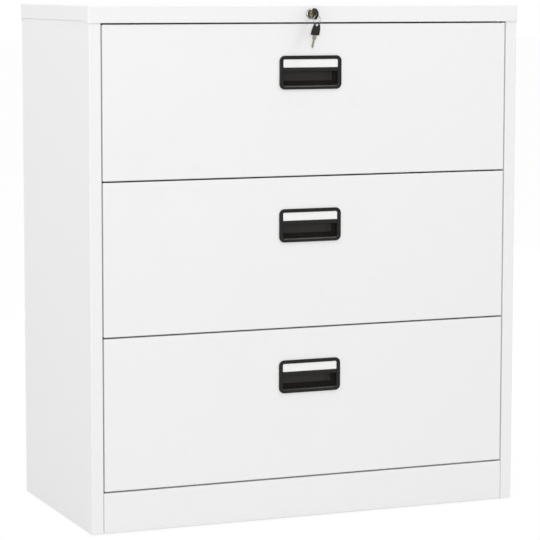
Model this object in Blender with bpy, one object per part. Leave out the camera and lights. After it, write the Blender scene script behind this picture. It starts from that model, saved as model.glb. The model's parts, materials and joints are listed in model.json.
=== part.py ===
"""Three-drawer lateral filing cabinet folded from steel sheet.

Metres, Z up, the drawer fronts face -Y, the origin lies on the floor under the middle of the outline.
Every sheet-metal piece is drawn as its outer skin, bent with a Bevel and given its gauge with Solidify.
"""
import math

import bmesh
import bpy
from mathutils import Matrix, Vector

for old in list(bpy.data.objects):
    bpy.data.objects.remove(old, do_unlink=True)

# Sizes: overall, over the lid
CASE_WIDTH = 0.900
CASE_DEPTH = 0.440
CASE_HEIGHT = 1.005

# Sizes: sheet and fits
SHEET = 0.0008
BEND = 0.0016
SEAT = 0.0003
RUN = 0.0004
OVERCUT = 0.001

# Sizes: lid
LID_FRONT_SKIRT = 0.033
LID_SIDE_SKIRT = 0.029
LID_CORNER = 0.0025
LID_CLEARANCE = 0.0007
LID_EAR = 0.012

# Sizes: carcass
STILE_WIDTH = 0.0235
STILE_RETURN = 0.018
REAR_RETURN = 0.030
BACK_INSET = 0.0014
PLINTH_TOP = 0.081
PLINTH_DEPTH = 0.018
PLINTH_GAP = 0.0008
RAIL_DEPTH = 0.034
RAIL_LIP = 0.010
PAN_FLANGE = 0.030
UPRIGHT_START = 0.040
UPRIGHT_WIDTH = 0.030

# Sizes: levelling feet
FOOT_STANDOFF = 0.003
FOOT_RADIUS = 0.016
FOOT_INSET = 0.052
FOOT_CHAMFER = 0.001
FOOT_RIM = 0.005
FOOT_CROWN = 0.007
PAN_HEIGHT = 0.012
STUD_RADIUS = 0.004
STUD_RISE = 0.020

# Sizes: drawers
DRAWER_COUNT = 3
DRAWER_GAP = 0.003
TOP_GAP = 0.003
SIDE_GAP = 0.0025
FRONT_DEPTH = 0.018
FRONT_FLANGE = 0.020
TRAY_LIFT = 0.008
TRAY_HEADROOM = 0.0435
TRAY_FLANGE = 0.008
FLANGE_RELIEF = 0.003
TRAY_LENGTH = 0.396

# Sizes: hanging rails
HANG_SPACING = 0.330
HANG_SETBACK = 0.052
HANG_THICK = 0.002
HANG_CLEAR = 0.001
HANG_DROP = 0.014
HANG_RISE = 0.006

# Sizes: telescopic slides
SLIDE_LENGTH = 0.385
SLIDE_START = 0.040
SLIDE_HEIGHT = 0.045
SLIDE_THICK = 0.0124
SLIDE_GAUGE = 0.0012
SLIDE_BEND = 0.0013
SLIDE_LIP = 0.0034
SLIDE_NOSE = 0.0028
SLIDE_LEVEL = 0.110
SLIDE_PASS = 0.0008

# Sizes: moulded handle
HANDLE_WIDTH = 0.130
HANDLE_HEIGHT = 0.065
HANDLE_CORNER = 0.0095
HANDLE_DROP = 0.0625
BEZEL_PROUD = 0.003
BEZEL_EASE = 0.0018
BEZEL_SIDE = 0.0075
BEZEL_TOP = 0.007
BEZEL_FOOT = 0.008
WINDOW_HEIGHT = 0.016
WINDOW_DEPTH = 0.0022
WINDOW_CORNER = 0.001
GRIP_LIP = 0.0075
POCKET_DEPTH = 0.023
POCKET_SIDE_DRAFT = 0.005
POCKET_FLOOR_DRAFT = 0.007
GRIP_BACK = 0.007
GRIP_RISE = 0.013
CUP_WALL = 0.002
CUP_CORNER = 0.004
POCKET_CORNER = 0.003
CARD_THICK = 0.0004

# Sizes: lock
LOCK_DROP = 0.017
LOCK_FACE_RADIUS = 0.011
LOCK_FACE_THICK = 0.0025
LOCK_CHAMFER = 0.001
LOCK_BODY_RADIUS = 0.0092
LOCK_BODY_LENGTH = 0.019
PLUG_RADIUS = 0.0060
STUD_NECK = 0.003
STUD_LENGTH = 0.004
NUT_FLATS = 0.024
NUT_THICK = 0.004
CAM_THICK = 0.002
CAM_HUB = 0.0068
CAM_LOBE = 0.0032
CAM_TO_BAR = 0.0035
CRANK_RADIUS = 0.0085
CRANK_PIN = 0.0016
YOKE_PLAY = 0.0004

# Sizes: lock bars
BAR_THICK = 0.0015
BAR_END = 0.012
SLIDE_BAR_HEIGHT = 0.016
DROP_BAR_WIDTH = 0.0075
DROP_BAR_INSET = 0.0008
DROP_BAR_TAIL = 0.040
TAB_CLEARANCE = 0.0005
CATCH_HEIGHT = 0.010
CATCH_LEVEL = 0.165
CATCH_REACH = 0.0095
CATCH_GAP = 0.0015

# Sizes: keys and ring
KEY_PLAY = 0.0003
BOW_WIDTH = 0.022
BOW_NECK = 0.011
BOW_LENGTH = 0.026
BOW_THICK = 0.003
BOW_CORNER = 0.0035
BOW_HOLE = 0.0026
BOW_HOLE_INSET = 0.006
BLADE_WIDTH = 0.0044
BLADE_SHOULDER = 0.0072
BLADE_THICK = 0.0018
BLADE_LENGTH = 0.0165
NOTCH_PITCH = 0.0036
SHOULDER_LENGTH = 0.0065
RING_RADIUS = 0.0080
RING_WIRE = 0.0007
RING_TWIST = math.radians(14)

# Levels and planes worked out from the sizes
LID_OUT = SHEET + LID_CLEARANCE
RING_REACH = LOCK_FACE_THICK + SHOULDER_LENGTH + BOW_LENGTH - BOW_HOLE_INSET
KEY_REACH = RING_REACH + BOW_HOLE_INSET
LID_Y = -0.5 * (CASE_DEPTH - KEY_REACH)
FACE_Y = LID_Y + LID_OUT
BACK_Y = LID_Y + CASE_DEPTH - LID_OUT - SHEET - SEAT
LID_UNDER = CASE_HEIGHT - SHEET - SEAT
CARCASS_HALF = 0.5 * CASE_WIDTH - LID_OUT
WALL_X = CARCASS_HALF - SHEET
OPENING_HALF = CARCASS_HALF - STILE_WIDTH
OPENING_TOP = CASE_HEIGHT - LID_FRONT_SKIRT
FRONT_HALF = OPENING_HALF - SIDE_GAP
FRONTS_TOTAL = OPENING_TOP - TOP_GAP - PLINTH_TOP - DRAWER_COUNT * DRAWER_GAP
FRONT_HEIGHT = FRONTS_TOTAL / DRAWER_COUNT
DRAWER_PITCH = FRONT_HEIGHT + DRAWER_GAP
TRAY_WALL = FRONT_HEIGHT - TRAY_LIFT - TRAY_HEADROOM
SLIDE_X = OPENING_HALF - SLIDE_PASS + SLIDE_GAUGE + RUN
TRAY_HALF = SLIDE_X - SLIDE_THICK - SEAT
MOUNT_X = SLIDE_X + SEAT
LOCK_Z = CASE_HEIGHT - LOCK_DROP
LOCK_REAR_Y = LID_Y + LOCK_BODY_LENGTH
BAR_Y = LOCK_REAR_Y + SEAT + CAM_THICK + CAM_TO_BAR
DROP_Y = BAR_Y + BAR_THICK + RUN
CATCH_Y = DROP_Y + BAR_THICK + CATCH_GAP
RAIL_FLOOR = OPENING_TOP + SHEET
YOKE_X = CRANK_RADIUS * math.sin(math.radians(45))
LOCK_THROW = 2 * YOKE_X
TAB_X = OPENING_HALF + DROP_BAR_INSET
DROP_BAR_X = TAB_X + LOCK_THROW + TAB_CLEARANCE


def material(name, rgb, roughness, metallic=0.0):
    """A plain surface colour for a node."""
    mat = bpy.data.materials.new(name)
    mat.use_nodes = True
    shader = mat.node_tree.nodes["Principled BSDF"]
    shader.inputs["Base Color"].default_value = (*rgb, 1.0)
    shader.inputs["Roughness"].default_value = roughness
    shader.inputs["Metallic"].default_value = metallic
    return mat


WHITE = material("white_paint", (0.86, 0.86, 0.85), 0.45)
BLACK = material("black_plastic", (0.02, 0.02, 0.02), 0.4)
ZINC = material("zinc_steel", (0.62, 0.63, 0.65), 0.35, 1.0)
CHROME = material("chrome", (0.80, 0.80, 0.82), 0.15, 1.0)
NICKEL = material("nickel_brass", (0.70, 0.66, 0.55), 0.3, 1.0)
PAPER = material("paper", (0.93, 0.93, 0.92), 0.8)


def datum(name, at):
    """An empty that carries the pieces of one moving group."""
    empty = bpy.data.objects.new(name, None)
    empty.location = at
    bpy.context.scene.collection.objects.link(empty)
    return empty


def place(name, bm, mat, parent=None, at=(0, 0, 0)):
    """Turn a bmesh into an object of the scene."""
    mesh = bpy.data.meshes.new(name)
    bm.to_mesh(mesh)
    bm.free()
    mesh.shade_smooth()
    mesh.set_sharp_from_angle(angle=math.radians(35))
    obj = bpy.data.objects.new(name, mesh)
    obj.location = at
    obj.parent = parent
    if mat is not None:
        mesh.materials.append(mat)
    bpy.context.scene.collection.objects.link(obj)
    return obj


def tool(name, bm, parent=None, at=(0, 0, 0)):
    """A hidden solid that only takes part in a Boolean."""
    obj = place(name, bm, None, parent, at)
    obj.hide_render = True
    obj.display_type = "WIRE"
    return obj


def boolean(obj, other, operation):
    """Join or cut an object with a hidden tool."""
    mod = obj.modifiers.new(operation.lower(), "BOOLEAN")
    mod.operation = operation
    mod.solver = "EXACT"
    mod.object = other


def fold(obj, gauge=SHEET, radius=BEND, steps=2):
    """Round the folds of an open skin and give it its sheet gauge on the inside."""
    bend = obj.modifiers.new("bend", "BEVEL")
    bend.limit_method = "ANGLE"
    bend.angle_limit = math.radians(40)
    bend.width = radius
    bend.segments = steps
    thick = obj.modifiers.new("gauge", "SOLIDIFY")
    thick.thickness = gauge
    thick.offset = -1.0
    thick.use_even_offset = True
    return obj


def block(low, high):
    """A plain box between two corners."""
    bm = bmesh.new()
    size = Vector(high) - Vector(low)
    middle = (Vector(high) + Vector(low)) / 2
    bmesh.ops.create_cube(bm, size=1.0, matrix=Matrix.Translation(middle) @ Matrix.Diagonal((*size, 1.0)))
    return bm


def open_box(low, high, open_side):
    """The outer skin of a folded pan: a box without the face that looks along open_side."""
    bm = block(low, high)
    away = Vector(open_side)
    bm.normal_update()
    lost = [face for face in bm.faces if face.normal.dot(away) > 0.9]
    bmesh.ops.delete(bm, geom=lost, context="FACES")
    return bm


def ribbon(path, run):
    """The skin of a folded profile: a path carried along a straight run, outer side to its right."""
    bm = bmesh.new()
    near = [bm.verts.new(point) for point in path]
    far = [bm.verts.new(Vector(point) + Vector(run)) for point in path]
    for i in range(len(path) - 1):
        bm.faces.new((near[i], near[i + 1], far[i + 1], far[i]))
    return bm


def loft(rings):
    """A closed solid through a row of outlines that have the same number of points."""
    bm = bmesh.new()
    rows = [[bm.verts.new(point) for point in ring] for ring in rings]
    count = len(rings[0])
    for low, high in zip(rows, rows[1:]):
        for i in range(count):
            j = (i + 1) % count
            bm.faces.new((low[i], low[j], high[j], high[i]))
    bm.faces.new(list(reversed(rows[0])))
    bm.faces.new(rows[-1])
    bmesh.ops.recalc_face_normals(bm, faces=bm.faces)
    return bm


def turned(profile, steps, axis):
    """A solid of revolution: (radius, height) points from axis to axis, or a closed loop off the axis."""
    bm = bmesh.new()
    verts = [bm.verts.new((radius, 0, height)) for radius, height in profile]
    edges = [bm.edges.new(pair) for pair in zip(verts, verts[1:])]
    if profile[0][0] > 0:
        edges.append(bm.edges.new((verts[-1], verts[0])))
    bmesh.ops.spin(bm, geom=verts + edges, cent=(0, 0, 0), axis=(0, 0, 1), angle=2 * math.pi, steps=steps,
                   use_merge=True)
    bmesh.ops.remove_doubles(bm, verts=bm.verts, dist=1e-6)
    bmesh.ops.recalc_face_normals(bm, faces=bm.faces)
    turn = Vector((0, 0, 1)).rotation_difference(Vector(axis)).to_matrix().to_4x4()
    bmesh.ops.transform(bm, matrix=turn, verts=bm.verts)
    return bm


def rod(radius, low, high):
    """Profile of a plain round rod for turned()."""
    return [(0, low), (radius, low), (radius, high), (0, high)]


def rounded(corners, radius, steps=4):
    """A flat outline of (a, b) points with its corners rounded by the same radius."""
    outline = []
    count = len(corners)
    for i in range(count):
        here = Vector(corners[i])
        back = (Vector(corners[i - 1]) - here).normalized()
        ahead = (Vector(corners[(i + 1) % count]) - here).normalized()
        half = 0.5 * back.angle(ahead)
        centre = here + (back + ahead).normalized() * radius / math.sin(half)
        start = here + back * radius / math.tan(half) - centre
        end = here + ahead * radius / math.tan(half) - centre
        sweep = start.angle_signed(end)
        for k in range(steps + 1):
            spoke = start.copy()
            spoke.rotate(Matrix.Rotation(-sweep * k / steps, 2))
            outline.append(tuple(centre + spoke))
    return outline


def arc(centre, radius, first, steps):
    """Half a circle of (a, b) points, counter-clockwise from the angle first."""
    turns = [first + math.pi * k / steps for k in range(steps + 1)]
    return [(centre.x + radius * math.cos(turn), centre.y + radius * math.sin(turn)) for turn in turns]


def rectangle(x0, z0, x1, z1, radius, steps=4):
    """A rounded rectangle outline in the plane of the drawer front."""
    return rounded([(x0, z0), (x1, z0), (x1, z1), (x0, z1)], radius, steps)


def upright_outline(outline, y):
    """Stand an (x, z) outline up at depth y."""
    return [(x, y, z) for x, z in outline]


def plate(outline, y0, y1):
    """A flat plate: an (x, z) outline from depth y0 to depth y1."""
    return loft([upright_outline(outline, y0), upright_outline(outline, y1)])


def side_panel(name, side):
    """Side wall with the front stile, its return, and the boxed rear edge that carries the slides."""
    path = [(MOUNT_X, BACK_Y - REAR_RETURN), (MOUNT_X, BACK_Y), (CARCASS_HALF, BACK_Y),
            (CARCASS_HALF, FACE_Y), (OPENING_HALF, FACE_Y), (OPENING_HALF, FACE_Y + STILE_RETURN)]
    points = [(side * x, y, FOOT_STANDOFF) for x, y in path]
    if side > 0:
        points.reverse()
    fold(place(name, ribbon(points, (0, 0, LID_UNDER - FOOT_STANDOFF)), WHITE))


def front_mount(name, side):
    """Folded channel on the side wall that carries the front ends of the slides."""
    outer = WALL_X - SEAT
    y0 = FACE_Y + UPRIGHT_START
    y1 = y0 + UPRIGHT_WIDTH
    path = [(outer, y0), (MOUNT_X, y0), (MOUNT_X, y1), (outer, y1)]
    points = [(side * x, y, FOOT_STANDOFF) for x, y in path]
    if side > 0:
        points.reverse()
    fold(place(name, ribbon(points, (0, 0, OPENING_TOP - FOOT_STANDOFF)), WHITE))


def back_panel():
    """Plain back sheet, screwed on the boxed rear edges and tucked under the lid."""
    half = CARCASS_HALF - BACK_INSET
    y0 = BACK_Y + SEAT
    place("back_panel", block((-half, y0, FOOT_STANDOFF), (half, y0 + SHEET, LID_UNDER)), WHITE)


def top_lid():
    """Lid folded down on four sides, with deeper skirts at the front and back and a hole for the lock."""
    half = 0.5 * CASE_WIDTH
    back = LID_Y + CASE_DEPTH
    bm = open_box((-half, LID_Y, OPENING_TOP), (half, back, CASE_HEIGHT), (0, 0, -1))
    uprights = [edge for edge in bm.edges if edge.verts[0].co.xy == edge.verts[1].co.xy]
    bmesh.ops.bevel(bm, geom=uprights, offset=LID_CORNER, offset_type="OFFSET", segments=3, profile=0.5,
                    affect="EDGES")
    lid = fold(place("top_lid", bm, WHITE))
    low = (-half - OVERCUT, LID_Y + LID_EAR, OPENING_TOP - OVERCUT)
    high = (half + OVERCUT, back - LID_EAR, CASE_HEIGHT - LID_SIDE_SKIRT)
    boolean(lid, tool("lid_side_trim", block(low, high)), "DIFFERENCE")
    boolean(lid, lock_hole("lid_lock_hole"), "DIFFERENCE")


def lock_hole(name):
    """Round hole for the lock body through the lid skirt and the rail behind it."""
    reach = LID_OUT + OVERCUT
    drill = turned(rod(LOCK_BODY_RADIUS + SEAT, -reach, reach), 32, (0, 1, 0))
    return tool(name, drill, at=(0, FACE_Y, LOCK_Z))


def lock_rail():
    """Channel behind the lid skirt that ties the stiles together and holds the lock and its slide bar."""
    half = OPENING_HALF - PLINTH_GAP
    y0 = FACE_Y
    y1 = FACE_Y + RAIL_DEPTH
    path = [(-half, y0, LID_UNDER), (-half, y0, OPENING_TOP), (-half, y1, OPENING_TOP),
            (-half, y1, OPENING_TOP + RAIL_LIP)]
    rail = fold(place("lock_rail", ribbon(path, (2 * half, 0, 0)), WHITE))
    boolean(rail, lock_hole("rail_lock_hole"), "DIFFERENCE")


def plinth():
    """Kick plate folded as a shallow pan between the stiles."""
    half = OPENING_HALF - PLINTH_GAP
    low = (-half, FACE_Y, FOOT_STANDOFF)
    high = (half, FACE_Y + PLINTH_DEPTH, PLINTH_TOP)
    fold(place("plinth", open_box(low, high, (0, 1, 0)), WHITE))


def base_pan():
    """Floor of the case between the slide mounts, with a hole for each levelling stud."""
    half = MOUNT_X - SEAT
    low = (-half, FACE_Y + max(PLINTH_DEPTH, STILE_RETURN) + SEAT, PAN_HEIGHT)
    high = (half, BACK_Y, PAN_HEIGHT + PAN_FLANGE)
    pan = fold(place("base_pan", open_box(low, high, (0, 0, 1)), WHITE))
    for label, x, y in foot_places():
        drill = turned(rod(STUD_RADIUS + SEAT, -OVERCUT, SHEET + OVERCUT), 20, (0, 0, 1))
        hole = tool(f"pan_hole_{label}", drill, at=(x, y, PAN_HEIGHT))
        boolean(pan, hole, "DIFFERENCE")


def foot_places():
    """Names and positions of the four levelling feet."""
    x = MOUNT_X - FOOT_INSET
    front = FACE_Y + FOOT_INSET
    back = BACK_Y - FOOT_INSET
    return [("front_left", -x, front), ("front_right", x, front),
            ("rear_left", -x, back), ("rear_right", x, back)]


def levelling_foot(label, x, y):
    """Glide disc with a threaded stud that stands up through the floor pan."""
    neck = PAN_HEIGHT - SEAT
    top = PAN_HEIGHT + STUD_RISE
    hub = 0.5 * FOOT_RADIUS
    profile = [(0, 0), (FOOT_RADIUS - FOOT_CHAMFER, 0), (FOOT_RADIUS, FOOT_CHAMFER), (FOOT_RADIUS, FOOT_RIM),
               (hub, FOOT_CROWN), (hub, neck), (STUD_RADIUS, neck), (STUD_RADIUS, top - FOOT_CHAMFER),
               (STUD_RADIUS - FOOT_CHAMFER, top), (0, top)]
    place(f"foot_{label}", turned(profile, 24, (0, 0, 1)), BLACK, at=(x, y, 0))


def drawer_front(number, group):
    """Front shell: a shallow pan with flanges that carry the tray, and the cut-out for the handle."""
    high = (FRONT_HALF, FRONT_DEPTH - FLANGE_RELIEF, FRONT_HEIGHT)
    skin = open_box((-FRONT_HALF, 0, 0), high, (0, 1, 0))
    for edge in rim_edges(skin, 0):
        flange(skin, edge, FRONT_FLANGE, FLANGE_RELIEF)
    front = fold(place(f"drawer_{number}_front", skin, WHITE, group))
    boolean(front, cup_hole(f"front_{number}_hole", group), "DIFFERENCE")


def cup_hole(name, group):
    """Cut-out that lets the handle's cup through the front shell and the tray wall."""
    outline = cup_outline(0.0)
    x = max(point[0] for point in outline) + SEAT
    z0 = min(point[1] for point in outline) - SEAT
    z1 = max(point[1] for point in outline) + SEAT
    hole = plate(rectangle(-x, z0, x, z1, CUP_CORNER), -BEZEL_PROUD, POCKET_DEPTH)
    return tool(name, hole, group, at=(0, 0, handle_centre()))


def drawer_tray(number, group):
    """Drawer body: a pan open at the top with stiffening flanges and the catch for the lock bar."""
    y0 = FRONT_DEPTH + SEAT
    y1 = y0 + TRAY_LENGTH
    ledge = TRAY_LIFT + TRAY_WALL - FLANGE_RELIEF
    skin = open_box((-TRAY_HALF, y0, TRAY_LIFT), (TRAY_HALF, y1, ledge), (0, 0, 1))
    for edge in rim_edges(skin, 0):
        flange(skin, edge, TRAY_FLANGE, TRAY_FLANGE)
    tray = fold(place(f"drawer_{number}_tray", skin, WHITE, group))
    y2 = CATCH_Y - FACE_Y
    low = (TRAY_HALF - 0.5 * SHEET, y2, CATCH_LEVEL)
    high = (TRAY_HALF + CATCH_REACH, y2 + BAR_THICK, CATCH_LEVEL + CATCH_HEIGHT)
    boolean(tray, tool(f"tray_{number}_catch", block(low, high), group), "UNION")
    boolean(tray, cup_hole(f"tray_{number}_hole", group), "DIFFERENCE")


def rim_edges(skin, axis):
    """Open edges of a pan that lie square to an axis."""
    return [e for e in skin.edges if e.is_boundary and abs(e.verts[0].co[axis] - e.verts[1].co[axis]) < 1e-6]


def flange(skin, edge, reach, inset):
    """Raise a wall's rim by the bend relief, clear of its corners by an inset, and fold it inwards."""
    wall = edge.link_faces[0]
    turn = next(loop for loop in wall.loops if loop.edge == edge)
    start = turn.vert
    end = turn.link_loop_next.vert
    along = (end.co - start.co).normalized()
    rise = along.cross(wall.normal) * FLANGE_RELIEF
    feet = [skin.verts.new(start.co + along * inset), skin.verts.new(end.co - along * inset)]
    crest = [skin.verts.new(vert.co + rise) for vert in feet]
    lip = [skin.verts.new(vert.co - wall.normal * reach) for vert in crest]
    loop = [vert for vert in wall.verts]
    spot = loop.index(start) + 1
    skin.faces.remove(wall)
    skin.faces.new(loop[:spot] + [feet[0], crest[0], crest[1], feet[1]] + loop[spot:])
    skin.faces.new((crest[1], crest[0], lip[0], lip[1]))


def hanging_rail(number, label, y, group):
    """Flat rail for hanging files; its shouldered ends rest on the tray's side flanges."""
    top = TRAY_LIFT + TRAY_WALL + SEAT
    wide = TRAY_HALF - HANG_CLEAR
    narrow = TRAY_HALF - TRAY_FLANGE - HANG_CLEAR
    outline = [(-narrow, top - HANG_DROP), (narrow, top - HANG_DROP), (narrow, top), (wide, top),
               (wide, top + HANG_RISE), (-wide, top + HANG_RISE), (-wide, top), (-narrow, top)]
    rail = plate(outline, y - 0.5 * HANG_THICK, y + 0.5 * HANG_THICK)
    place(f"drawer_{number}_rail_{label}", rail, ZINC, group)


def slide_profile(member):
    """Cross-section path of one slide member: (distance from the case side, height), lower lip first."""
    half = 0.5 * SLIDE_HEIGHT
    step = SLIDE_GAUGE + RUN
    if member == "outer":
        near, far, reach = 0.0, SLIDE_THICK - SLIDE_NOSE, half
    elif member == "middle":
        near, far, reach = step, SLIDE_THICK - SLIDE_NOSE - step, half - step
    else:
        rim = half - 2 * step
        neck = half - step - SLIDE_LIP - RUN
        start = 2 * step + SLIDE_GAUGE
        return [(start, -rim), (start, -neck), (SLIDE_THICK, -neck),
                (SLIDE_THICK, neck), (start, neck), (start, rim)]
    return [(far, -reach + SLIDE_LIP), (far, -reach), (near, -reach), (near, reach), (far, reach),
            (far, reach - SLIDE_LIP)]


def slide_member(number, side_name, side, member, group, at):
    """One rolled member of a telescopic slide; the gauge lies on the hollow side of the path."""
    length = Vector((0, SLIDE_LENGTH, 0))
    points = [Vector((side * (SLIDE_X - u), 0, v)) for u, v in slide_profile(member)]
    if (side > 0) != (member == "inner"):
        points.reverse()
    obj = place(f"drawer_{number}_slide_{side_name}_{member}", ribbon(points, length), ZINC, group, at)
    fold(obj, SLIDE_GAUGE, SLIDE_BEND)


def handle_centre():
    """Height of the handle's middle above the drawer front's lower edge."""
    return FRONT_HEIGHT + 0.5 * TOP_GAP - HANDLE_DROP - 0.5 * HANDLE_HEIGHT


def pocket_outline(draft):
    """Mouth of the finger pocket (draft 0) or its back wall (draft 1)."""
    x = 0.5 * HANDLE_WIDTH - BEZEL_SIDE - draft * POCKET_SIDE_DRAFT
    foot = -0.5 * HANDLE_HEIGHT + BEZEL_FOOT + draft * POCKET_FLOOR_DRAFT
    head = 0.5 * HANDLE_HEIGHT - BEZEL_TOP - WINDOW_HEIGHT - GRIP_LIP
    return rectangle(-x, foot, x, head, POCKET_CORNER)


def cup_outline(draft):
    """Outside of the moulded cup behind the bezel, at the bezel (draft 0) or at the back (draft 1)."""
    x = 0.5 * HANDLE_WIDTH - BEZEL_SIDE + CUP_WALL - draft * POCKET_SIDE_DRAFT
    foot = -0.5 * HANDLE_HEIGHT + BEZEL_FOOT - CUP_WALL + draft * POCKET_FLOOR_DRAFT
    head = 0.5 * HANDLE_HEIGHT - BEZEL_TOP - WINDOW_HEIGHT - GRIP_LIP + GRIP_RISE + CUP_WALL
    return rectangle(-x, foot, x, head, CUP_CORNER)


def window_outline(play):
    """Label window in the bezel, or the card in it when play is taken off all round."""
    x = 0.5 * HANDLE_WIDTH - BEZEL_SIDE - play
    head = 0.5 * HANDLE_HEIGHT - BEZEL_TOP
    return rectangle(-x, head - WINDOW_HEIGHT + play, x, head - play, WINDOW_CORNER, 2)


def drawer_handle(number, group):
    """Moulded handle: bezel, label window, and a drafted cup with a grip behind the window."""
    centre = (0, 0, handle_centre())
    half = 0.5 * HANDLE_WIDTH
    tall = 0.5 * HANDLE_HEIGHT
    rings = []
    steps = ((-SEAT, 0.0), (-0.5 * BEZEL_PROUD, 0.0),
             (-0.85 * BEZEL_PROUD, BEZEL_EASE / 3), (-BEZEL_PROUD, BEZEL_EASE))
    for y, inset in steps:
        outline = rectangle(-half + inset, -tall + inset, half - inset, tall - inset, HANDLE_CORNER - inset)
        rings.append(upright_outline(outline, y))
    handle = place(f"drawer_{number}_handle", loft(rings), BLACK, group, centre)
    back = POCKET_DEPTH + CUP_WALL
    cup = loft([upright_outline(cup_outline(0.0), -2 * SEAT), upright_outline(cup_outline(1.0), back)])
    boolean(handle, tool(f"handle_{number}_cup", cup, group, centre), "UNION")
    mouth = -BEZEL_PROUD - OVERCUT
    flare = mouth / POCKET_DEPTH
    pocket = loft([upright_outline(pocket_outline(flare), mouth),
                   upright_outline(pocket_outline(1.0), POCKET_DEPTH)])
    boolean(handle, tool(f"handle_{number}_pocket", pocket, group, centre), "DIFFERENCE")
    boolean(handle, grip_hollow(f"handle_{number}_grip", group, centre), "DIFFERENCE")
    window = plate(window_outline(0.0), mouth, -BEZEL_PROUD + WINDOW_DEPTH)
    boolean(handle, tool(f"handle_{number}_window", window, group, centre), "DIFFERENCE")
    rear = -BEZEL_PROUD + WINDOW_DEPTH - SEAT
    card = plate(window_outline(SEAT), rear - CARD_THICK, rear)
    place(f"drawer_{number}_label_card", card, PAPER, group, centre)


def grip_hollow(name, group, centre):
    """Space behind the label window where the fingertips hook over the grip lip."""
    head = 0.5 * HANDLE_HEIGHT - BEZEL_TOP - WINDOW_HEIGHT - GRIP_LIP
    x = 0.5 * HANDLE_WIDTH - BEZEL_SIDE - POCKET_SIDE_DRAFT
    outline = rectangle(-x, head - 2 * POCKET_CORNER, x, head + GRIP_RISE, POCKET_CORNER)
    return tool(name, plate(outline, GRIP_BACK, POCKET_DEPTH), group, centre)


def drawer(number):
    """One drawer: front, tray, handle, card, hanging rails and both telescopic slides."""
    bottom = OPENING_TOP - TOP_GAP - FRONT_HEIGHT - (number - 1) * DRAWER_PITCH
    group = datum(f"drawer_{number}", (0, FACE_Y, bottom))
    middle = datum(f"drawer_{number}_middle_members", (0, FACE_Y, bottom))
    drawer_front(number, group)
    drawer_tray(number, group)
    drawer_handle(number, group)
    hanging_rail(number, "front", HANG_SETBACK, group)
    hanging_rail(number, "rear", HANG_SETBACK + HANG_SPACING, group)
    at = Vector((0, SLIDE_START, SLIDE_LEVEL))
    for side_name, side in (("left", -1), ("right", 1)):
        slide_member(number, side_name, side, "outer", None, at + Vector((0, FACE_Y, bottom)))
        slide_member(number, side_name, side, "middle", middle, at)
        slide_member(number, side_name, side, "inner", group, at)


def lock_housing():
    """Flanged lock body with the bore for the plug."""
    bore = PLUG_RADIUS + SEAT
    face = -SEAT - LOCK_FACE_THICK
    profile = [(bore, face), (LOCK_FACE_RADIUS - LOCK_CHAMFER, face), (LOCK_FACE_RADIUS, face + LOCK_CHAMFER),
               (LOCK_FACE_RADIUS, -SEAT), (LOCK_BODY_RADIUS, -SEAT), (LOCK_BODY_RADIUS, LOCK_BODY_LENGTH),
               (bore, LOCK_BODY_LENGTH)]
    place("lock_housing", turned(profile, 32, (0, 1, 0)), CHROME, at=(0, LID_Y, LOCK_Z))


def lock_nut():
    """Hexagon nut that clamps the lock body in the rail."""
    y0 = FACE_Y + SHEET + SEAT
    bore = turned(rod(LOCK_BODY_RADIUS + SEAT, -OVERCUT, NUT_THICK + OVERCUT), 32, (0, 1, 0))
    corner = NUT_FLATS / math.sqrt(3)
    turns = [math.radians(60 * k) for k in range(6)]
    hexagon = [(corner * math.cos(turn), corner * math.sin(turn)) for turn in turns]
    nut = place("lock_nut", plate(hexagon, 0, NUT_THICK), ZINC, at=(0, y0, LOCK_Z))
    boolean(nut, tool("nut_bore", bore, at=(0, y0, LOCK_Z)), "DIFFERENCE")


def lock_plug(group):
    """Turning plug with its keyway and the stud that drives the cam."""
    face = -SEAT - LOCK_FACE_THICK
    stud = LOCK_BODY_LENGTH + STUD_LENGTH
    profile = [(0, face), (PLUG_RADIUS, face), (PLUG_RADIUS, LOCK_BODY_LENGTH), (STUD_NECK, LOCK_BODY_LENGTH),
               (STUD_NECK, stud), (0, stud)]
    plug = place("lock_plug", turned(profile, 32, (0, 1, 0)), CHROME, group)
    wide = 0.5 * BLADE_THICK + KEY_PLAY
    tall = 0.5 * BLADE_WIDTH + KEY_PLAY
    low = (-wide, face - OVERCUT, -tall)
    high = (wide, face + BLADE_LENGTH + OVERCUT, tall)
    boolean(plug, tool("keyway", block(low, high), group), "DIFFERENCE")


def lock_cam(group):
    """Cam on the plug's stud with the crank pin that works the slide bar."""
    y0 = LOCK_BODY_LENGTH + SEAT
    y1 = y0 + CAM_THICK
    crank = Vector((YOKE_X, -YOKE_X))
    lobe = arc(crank, CAM_LOBE, math.radians(-135), 12)
    hub = arc(Vector((0, 0)), CAM_HUB, math.radians(45), 16)
    cam = place("lock_cam", plate(lobe + hub, y0, y1), ZINC, group)
    pin = turned(rod(CRANK_PIN, y0 + 0.5 * CAM_THICK, BAR_Y + BAR_THICK - LID_Y), 20, (0, 1, 0))
    boolean(cam, tool("cam_pin", pin, group, at=(crank.x, 0, crank.y)), "UNION")
    bore = turned(rod(STUD_NECK + SEAT, y0 - OVERCUT, y1 + OVERCUT), 24, (0, 1, 0))
    boolean(cam, tool("cam_bore", bore, group), "DIFFERENCE")


def slot_tool(name, start, end, radius):
    """Round-ended slot between two (x, z) points, cut through the slide bar."""
    start = Vector(start)
    end = Vector(end)
    along = math.atan2(end.y - start.y, end.x - start.x)
    outline = arc(start, radius, along + math.pi / 2, 8) + arc(end, radius, along - math.pi / 2, 8)
    return tool(name, plate(outline, BAR_Y - OVERCUT, BAR_Y + BAR_THICK + OVERCUT))


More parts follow.
